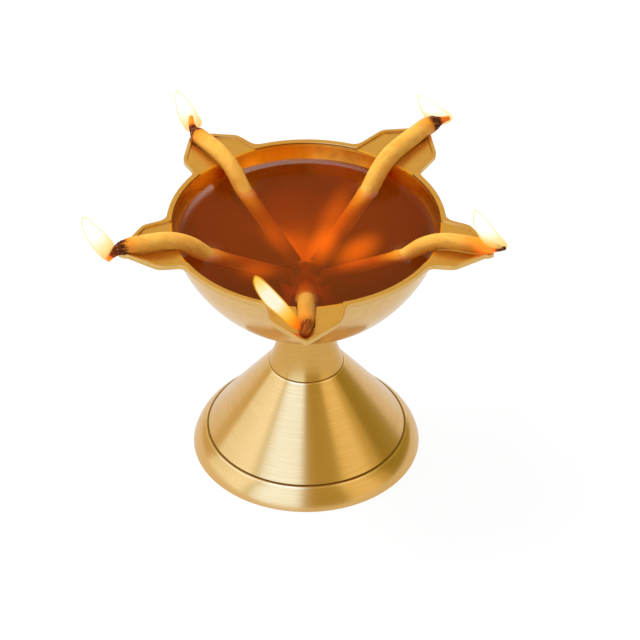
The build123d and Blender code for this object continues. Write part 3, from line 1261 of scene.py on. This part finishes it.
@dataclass
class Flame:
    """One flame of three nested skins, which the draught lays over.

    Its two edges are smooth lines past marks in an upright plane that faces the front. Each mark is a step
    along X and Z from the foot's place, in millimetres, and both lines run from the foot to the tip.
    """

    spot: Spot
    foot: np.ndarray
    left: Marks
    right: Marks
    depth: float = 1.9 * MM
    tip_power: float = 0.6
    foot_power: float = 0.35
    foot_start: float = 0.15
    leaf_peak: float = 0.61
    round_foot: float = 0.12
    round_top: float = 0.3
    mean_reach: int = 15
    fine_rows: int = 181
    rows: int = 60
    columns: int = 48

    def edge(self, marks: Marks, share: np.ndarray) -> np.ndarray:
        """Places on one edge.

        Args:
            marks: the marks that the edge passes by.
            share: how far along the edge, from 0 at the foot to 1 at the tip.

        Returns:
            Points on the line through the marks, run through a moving mean that leaves its ends in place.
        """
        corners = np.array(marks) * MM
        steps = np.linalg.norm(np.diff(corners, axis=0), axis=1)
        length = np.concatenate([[0.0], np.cumsum(steps)]) / steps.sum()
        fine = np.linspace(0, 1, self.fine_rows)
        on_line = [np.interp(fine, length, places) for places in corners.T]
        soft = [moving_mean(row, self.mean_reach, mode="reflect", reflect_type="odd") for row in on_line]
        x, z = (np.interp(share, fine, row) for row in soft)
        return self.foot + np.stack([x, np.zeros_like(x), z], axis=-1)

    def leaf(self, share: np.ndarray) -> np.ndarray:
        """A leaf's outline: a power of 1 - t times a power of t and a start, over about its peak."""
        return (1 - share) ** self.tip_power * (share + self.foot_start) ** self.foot_power / self.leaf_peak

    def skin(self, layer: Layer) -> Rings:
        """One skin of the flame.

        A ring at share t is an ellipse between the two edges. Its half-width is half of the edges' distance
        times the skin's width. Its depth is as much, but no more than the flame's depth times the leaf's
        outline. Both round off like a quarter circle at the foot and at an inner skin's top.

        Args:
            layer: which skin.

        Returns:
            The closed surface.
        """
        t = np.linspace(0, 1, self.rows + 2)
        share = layer.start + t * (layer.stop - layer.start)
        left, right = self.edge(self.left, share), self.edge(self.right, share)
        middle, half = (left + right) / 2, (right - left) / 2
        scale = layer.width * np.sqrt(1 - (1 - np.minimum(t / self.round_foot, 1)) ** 2)
        if layer.stop < 1:
            into_top = np.maximum(t - (1 - self.round_top), 0) / self.round_top
            scale = scale * np.sqrt(np.maximum(1 - into_top**2, 0))
        deep = np.minimum(np.linalg.norm(half, axis=1), self.depth * self.leaf(share))
        wide = scale[:, None] * half
        thick = (scale * deep)[:, None] * np.array([0, 1.0, 0])
        turn = full_turn(self.columns)
        ring = np.cos(turn)[None, :, None] * wide[:, None] + np.sin(turn)[None, :, None] * thick[:, None]
        points = (middle[:, None] + ring)[1:-1]
        values = {"along": np.repeat(share[1:-1, None], self.columns, axis=1)}
        return Rings(points, middle[0], middle[-1], values)

    def build(self, materials: dict[Layer, bpy.types.Material]) -> list[bpy.types.Object]:
        """Builds the three skins.

        Args:
            materials: the light of each skin.

        Returns:
            The pieces.
        """
        node, body = f"flame_{self.spot.label}", f"wick_{self.spot.label}"
        pieces = []
        for layer, material in materials.items():
            data = self.skin(layer).mesh(f"{node}_{layer.name.lower()}")
            pieces.append(place_piece(data, material, body, node))
        return pieces


@dataclass
class BurningWicks:
    """The five wicks with their flames, which the draught draws a little behind the wicks' ends."""

    behind: Vector = (0.0, 1.4 * MM, -1.12 * MM)
    # The front wick's cotton colours are the others' made darker: painted shade.
    front_cotton: Colour = (0.60, 0.255, 0.028)
    front_pale: Colour = (0.66, 0.31, 0.042)

    def wicks(self) -> list[Wick]:
        """Each wick's reach, bow, girth, tapered end and burn."""
        return [
            Wick(
                Spot.FRONT, 45.7 * MM, bow=(-0.4, 0.0, -0.6), girth=2.2 * MM,
                shape=((0, 0.40), (0.8, 0.62), (3, 0.80), (6, 0.97), (9, 1)),
                burn=((0, 1, 0.72, 0.1), (2.4, 1, 0.76, 0.1), (3.8, 0.8, 0.4, 0), (6, 0.2, 0, 0),
                      (10, 0, 0, 0)),
            ),
            Wick(
                Spot.RIGHT, 51.8 * MM, bow=(-0.6, 0.0, 0.5), girth=2.05 * MM,
                shape=((0, 0.22), (1.5, 0.40), (3.5, 0.72), (6.5, 0.97), (9, 1)),
                burn=((0, 1, 1, 0), (1.8, 1, 1, 0.05), (2.6, 1, 0.5, 0.7), (4.6, 1, 0.05, 0.8),
                      (6.2, 1, 0, 0.35), (8.5, 0.8, 0, 0), (13, 0, 0, 0)),
            ),
            Wick(
                Spot.BACK_RIGHT, 54.0 * MM, bow=(3.9, 0.0, 0.7), girth=2.4 * MM,
                shape=((0, 0.24), (0.5, 0.30), (2.2, 0.32), (3, 0.62), (4.2, 0.85), (6.5, 1)),
                burn=((0, 1, 0.5, 0.35), (2.2, 1, 0.6, 0.3), (2.8, 1, 1, 0), (4.6, 1, 0.9, 0),
                      (6.4, 0.8, 0.2, 0), (9, 0.3, 0, 0), (12, 0, 0, 0)),
            ),
            Wick(
                Spot.BACK_LEFT, 50.8 * MM, bow=(1.4, 0.0, 3.1), girth=2.15 * MM,
                shape=((0, 0.22), (0.8, 0.34), (2.5, 0.40), (4, 0.55), (5.6, 0.95), (7, 1)),
                burn=((0, 1, 0.1, 1), (1.8, 1, 0.3, 0.8), (2.8, 1, 1, 0.05), (5.4, 1, 0.9, 0),
                      (6.8, 0.9, 0.2, 0), (9, 0.3, 0, 0), (12, 0, 0, 0)),
            ),
            Wick(
                Spot.LEFT, 51.2 * MM, bow=(0.0, 0.0, -3.3), girth=2.3 * MM,
                shape=((0, 0.26), (1, 0.38), (2.5, 0.48), (5, 0.78), (7.5, 1)),
                burn=((0, 1, 0.2, 1), (1.2, 1, 0.6, 0.9), (2, 1, 1, 0.1), (5, 1, 1, 0),
                      (6.6, 0.9, 0.25, 0), (8.5, 0.35, 0, 0), (12, 0, 0, 0)),
            ),
        ]

    def outlines(self) -> dict[Spot, tuple[Marks, Marks]]:
        """Each flame's left and right edge, from its foot to its tip."""
        return {
            Spot.FRONT: (
                ((-1.0, 0.6), (-3.6, 2.5), (-4.6, 4.0), (-7.3, 7.0), (-9.6, 9.2), (-11.1, 11.8),
                 (-12.5, 15.2), (-12.6, 17.5), (-12.0, 18.0)),
                ((-0.4, 2.4), (-1.7, 5.0), (-3.9, 8.5), (-6.6, 12.4), (-9.1, 15.6), (-11.1, 18.0),
                 (-12.0, 18.0)),
            ),
            Spot.RIGHT: (
                ((-5.2, 0.8), (-6.0, 2.8), (-7.2, 5.0), (-8.0, 7.1), (-8.3, 10.2), (-7.8, 12.1)),
                ((1.3, -0.8), (0.7, 1.4), (-0.7, 3.0), (-2.3, 5.0), (-4.2, 8.0), (-6.4, 11.1),
                 (-7.8, 12.1)),
            ),
            Spot.BACK_RIGHT: (
                ((-6.0, -0.6), (-6.9, 1.4), (-7.7, 3.6), (-8.2, 6.2), (-8.3, 7.7)),
                ((-1.6, -1.9), (0.5, -1.1), (1.6, 0.2), (0.7, 1.1), (-1.1, 2.4), (-3.3, 3.8), (-5.8, 5.8),
                 (-8.3, 7.7)),
            ),
            Spot.BACK_LEFT: (
                ((-0.4, -5.1), (-1.4, -4.6), (-2.1, -3.2), (-3.3, -0.2), (-4.0, 3.2), (-4.2, 6.3),
                 (-3.6, 8.5)),
                ((3.4, -2.9), (2.3, -0.5), (1.3, 1.5), (0.0, 3.9), (-1.6, 6.3), (-3.6, 8.5)),
            ),
            Spot.LEFT: (
                ((-0.5, -0.6), (-1.5, 0.6), (-2.9, 2.5), (-4.3, 5.2), (-5.6, 8.2), (-6.5, 12.1),
                 (-6.0, 13.6)),
                ((1.8, 3.2), (1.6, 5.4), (0.8, 6.6), (-0.8, 8.5), (-2.8, 10.9), (-5.0, 13.4), (-6.0, 13.6)),
            ),
        }

    def pale_glows(self) -> dict[Layer, FlameGlow]:
        """Light of the flames that stand clear of the bowl: peach, then white, in a thin yellow veil."""
        return {
            Layer.VEIL: FlameGlow(
                "flame_veil_finish",
                ((0.0, (1.0, 0.42, 0.05)), (0.2, (1.0, 0.74, 0.20)), (0.4, (0.90, 0.85, 0.25)),
                 (1.0, (0.84, 0.84, 0.24))),
                ((0.0, 0.3), (0.3, 0.45), (1.0, 0.45)),
            ),
            Layer.MANTLE: FlameGlow(
                "flame_mantle_finish",
                ((0.0, (1.0, 0.40, 0.05)), (0.15, (1.0, 0.60, 0.15)), (0.35, (1.0, 0.86, 0.44)),
                 (0.55, (1.0, 0.97, 0.75)), (1.0, (1.0, 1.0, 0.85))),
                ((0.0, 0.5), (0.15, 0.5), (0.35, 0.35), (0.55, 0.08), (1.0, 0.03)),
            ),
            Layer.CORE: FlameGlow(
                "flame_core_finish",
                ((0.2, (1.05, 0.98, 0.72)), (0.45, (1.15, 1.15, 1.5)), (0.6, (1.2, 1.2, 1.8)),
                 (1.0, (1.2, 1.2, 1.8))),
                ((0.16, 0.0), (0.42, 0.85), (0.55, 1.0), (1.0, 1.0)),
            ),
        }

    def deep_glows(self) -> dict[Layer, FlameGlow]:
        """Light of the front flame, which stands before the oil: orange, then white, gold at its tip."""
        return {
            Layer.VEIL: FlameGlow(
                "front_flame_veil_finish",
                ((0.0, (0.9, 0.08, 0.004)), (0.2, (1.0, 0.26, 0.01)), (0.5, (1.0, 0.50, 0.04)),
                 (1.0, (1.0, 0.52, 0.04))),
                ((0.0, 0.25), (0.2, 0.42), (1.0, 0.38)),
            ),
            Layer.MANTLE: FlameGlow(
                "front_flame_mantle_finish",
                ((0.0, (0.85, 0.09, 0.004)), (0.12, (1.0, 0.24, 0.008)), (0.28, (1.0, 0.60, 0.04)),
                 (0.5, (1.0, 0.86, 0.3)), (0.8, (1.0, 0.80, 0.16)), (1.0, (1.0, 0.56, 0.03))),
                ((0.0, 0.45), (0.18, 0.8), (0.36, 0.45), (0.5, 0.2), (0.72, 0.25), (0.9, 0.7), (1.0, 0.85)),
            ),
            Layer.CORE: FlameGlow(
                "front_flame_core_finish",
                ((0.2, (1.0, 0.52, 0.04)), (0.36, (1.05, 0.86, 0.26)), (0.48, (1.2, 1.25, 1.3)),
                 (0.72, (1.2, 1.25, 1.3)), (0.88, (1.05, 0.92, 0.34))),
                ((0.14, 0.0), (0.32, 1.0), (0.82, 1.0), (0.95, 0.0)),
            ),
        }

    def build(self) -> list[bpy.types.Object]:
        """Builds each wick and its flame.

        Returns:
            The pieces.
        """
        cotton = SoakedCotton().make()
        # Painted shade: the front wick gets a darker copy of the cotton.
        shaded_cotton = SoakedCotton("front_cotton_finish", self.front_cotton, self.front_pale).make()
        pale = {layer: glow.make() for layer, glow in self.pale_glows().items()}
        deep = {layer: glow.make() for layer, glow in self.deep_glows().items()}
        outlines = self.outlines()
        pieces = []
        for wick in self.wicks():
            in_front = wick.spot is Spot.FRONT
            pieces.append(wick.build(shaded_cotton if in_front else cotton))
            flame = Flame(wick.spot, wick.tip() + np.array(self.behind), *outlines[wick.spot])
            pieces.extend(flame.build(deep if in_front else pale))
        return pieces


@dataclass(frozen=True)
class Room:
    """What stands round the lamp as its gloss shows it, with the colours that it sheds.

    A stop is a bearing in degrees, from the front towards the right, with the colour there.
    """

    back_wall: Stops = ((-180, (0.88, 0.69, 0.33)), (-134, (0.77, 0.66, 0.37)), (-112, (0.77, 0.67, 0.43)))
    left_pane: Stops = ((-104, (1.14, 1.30, 1.57)), (-66, (1.29, 1.50, 2.00)))
    window_bar: Stops = ((-57, (0.89, 1.01, 1.15)),)
    right_pane: Stops = ((-50, (1.20, 1.62, 2.87)), (-40, (1.29, 1.84, 3.57)), (-12, (1.27, 1.78, 3.33)))
    side_wall: Stops = ((3, (0.60, 0.50, 0.20)), (14, (0.54, 0.44, 0.14)), (34, (0.55, 0.46, 0.16)))
    doorway: Stops = ((48, (1.04, 0.94, 0.59)), (66, (1.08, 0.98, 0.64)), (82, (0.71, 0.60, 0.26)))
    corner: Stops = ((92, (0.40, 0.33, 0.07)), (132, (0.42, 0.35, 0.08)))
    ambient: Colour = (0.6, 0.6, 0.6)
    white: Colour = (1.0, 1.0, 1.0)
    oil_walls: Colour = (0.66, 0.50, 0.24)
    overhead: Colour = (4.6, 4.8, 4.2)
    overhead_lean: float = 18.0
    overhead_band: Pair = (0.62, 0.95)

    def stops(self) -> Stops:
        """The whole way round from the back, which ends as it begins.

        Returns:
            The stops, with each bearing as a share of the way.
        """
        window = self.left_pane + self.window_bar + self.right_pane
        every = self.back_wall + window + self.side_wall + self.doorway + self.corner
        every += ((180, self.back_wall[0][1]),)
        return tuple(((bearing + 180) / 360, colour) for bearing, colour in every)

    def build(self) -> None:
        """Makes the world: white to the eye, a plain grey to matt surfaces, and to gloss the room.

        What shows through or in the oil sees plain walls instead, with a soft light overhead that leans to
        the right. That light is shut off for rays that have met a matt surface.
        """
        world = bpy.data.worlds.new("room")
        world.use_nodes = True
        world.cycles.sampling_method = "NONE"
        bpy.context.scene.world = world
        nodes = Nodes(world.node_tree)
        x, y, z = nodes.split(nodes.where("Generated"))
        bearing = nodes.math("ARCTAN2", x, nodes.times(y, -1.0))
        share = nodes.math("ADD", nodes.math("DIVIDE", bearing, 2 * math.pi), 0.5)
        room = nodes.ramp(share, self.stops(), "EASE")
        lean = math.radians(self.overhead_lean)
        high = nodes.products((x, math.sin(lean)), (z, math.cos(lean)))
        first = nodes.band(nodes.ray("Diffuse Depth"), 0.0, 1.0, 1.0, 0.0)
        above = nodes.times(nodes.band(high, *self.overhead_band), first)
        over_oil = nodes.mix(above, self.oil_walls, self.overhead)
        room = nodes.mix(nodes.ray("Is Transmission Ray", "Is Singular Ray"), room, over_oil)
        shown = nodes.mix(nodes.ray("Is Glossy Ray", "Is Transmission Ray"), self.ambient, room)
        shown = nodes.mix(nodes.ray("Is Camera Ray"), shown, self.white)
        back = nodes.add("ShaderNodeBackground", {"Color": shown}).outputs["Background"]
        nodes.add("ShaderNodeOutputWorld", {"Surface": back})


@dataclass
class Studio:
    """A white floor, a room round it, one soft light and the camera."""

    floor_half: float = 4.0
    floor_matt: Colour = (0.85, 0.85, 0.85)
    floor_in_gloss: float = 0.92
    floor_to_eye: float = 1.05
    floor_share: float = 0.88
    key_place: Vector = (-0.55, 0.25, 0.95)
    key_size: float = 0.6
    key_watts: float = 10.0
    elevation: float = math.radians(38.669)
    distance: float = 992.54 * MM
    look_z: float = 35.786 * MM
    lens: float = 216.612
    sensor: float = 36.0
    shift: Pair = (0.0214, 0.0193)
    nearest: float = 0.01

    def floor(self) -> None:
        """Lays a floor that shows white to the eye, to metal and to oil, and keeps a faint shadow."""
        corner = np.array([-1.0, 1.0]) * self.floor_half
        x, y = np.meshgrid(corner, corner)
        points = np.stack([x, y, np.zeros_like(x)], axis=-1).reshape(-1, 3)
        data = bpy.data.meshes.new("floor")
        data.from_pydata(points.tolist(), [], [[0, 1, 3, 2]])
        floor = into_scene("floor", data)
        finish = Finish("floor_finish")
        nodes = finish.nodes
        matt = nodes.add("ShaderNodeBsdfDiffuse", {"Color": self.floor_matt}).outputs["BSDF"]
        strength = nodes.band(nodes.ray("Is Camera Ray"), 0.0, 1.0, self.floor_in_gloss, self.floor_to_eye)
        seen = nodes.ray("Is Camera Ray", "Is Glossy Ray", "Is Transmission Ray")
        share = nodes.times(seen, self.floor_share)
        data.materials.append(finish.done(nodes.blend(share, matt, nodes.emission(Strength=strength))))

    def key_light(self) -> None:
        """Hangs a square soft light that points at the lamp and doesn't show in its gloss."""
        data = bpy.data.lights.new("key", "AREA")
        data.size = self.key_size
        data.energy = self.key_watts
        light = into_scene("key", data)
        away = np.array(self.key_place) - np.array([0, 0, self.look_z])
        pan = math.atan2(away[1], away[0]) + math.pi / 2
        tilt = math.atan2(math.hypot(away[0], away[1]), away[2])
        light.location = self.key_place
        light.rotation_euler = (tilt, 0, pan)
        light.visible_glossy = False
        light.visible_transmission = False

    def camera(self) -> None:
        """Sets the camera up at the photograph's angle and framing."""
        data = bpy.data.cameras.new("camera")
        data.sensor_width = self.sensor
        data.lens = self.lens
        data.shift_x, data.shift_y = self.shift
        data.clip_start = self.nearest
        camera = into_scene("camera", data)
        back = self.distance * math.cos(self.elevation)
        up = self.distance * math.sin(self.elevation)
        camera.location = (0.0, -back, self.look_z + up)
        camera.rotation_euler = (math.pi / 2 - self.elevation, 0.0, 0.0)
        bpy.context.scene.camera = camera

    def build(self) -> None:
        """Builds floor, room, light and camera."""
        bpy.context.scene.view_settings.view_transform = "Standard"
        self.floor()
        Room().build()
        self.key_light()
        self.camera()


def main() -> None:
    """Builds the studio and the dressed lamp, and reports each piece."""
    logging.basicConfig(level=logging.INFO, format="%(message)s")
    Studio().build()
    pieces = [*BrassStack().dress(), OilFill().build(), *BurningWicks().build()]
    for piece in pieces:
        finish = piece.material_slots[0].material.name
        LOG.info("%s: %d points, dressed in %s", piece.name, len(piece.data.vertices), finish)


if __name__ == "__main__":
    main()
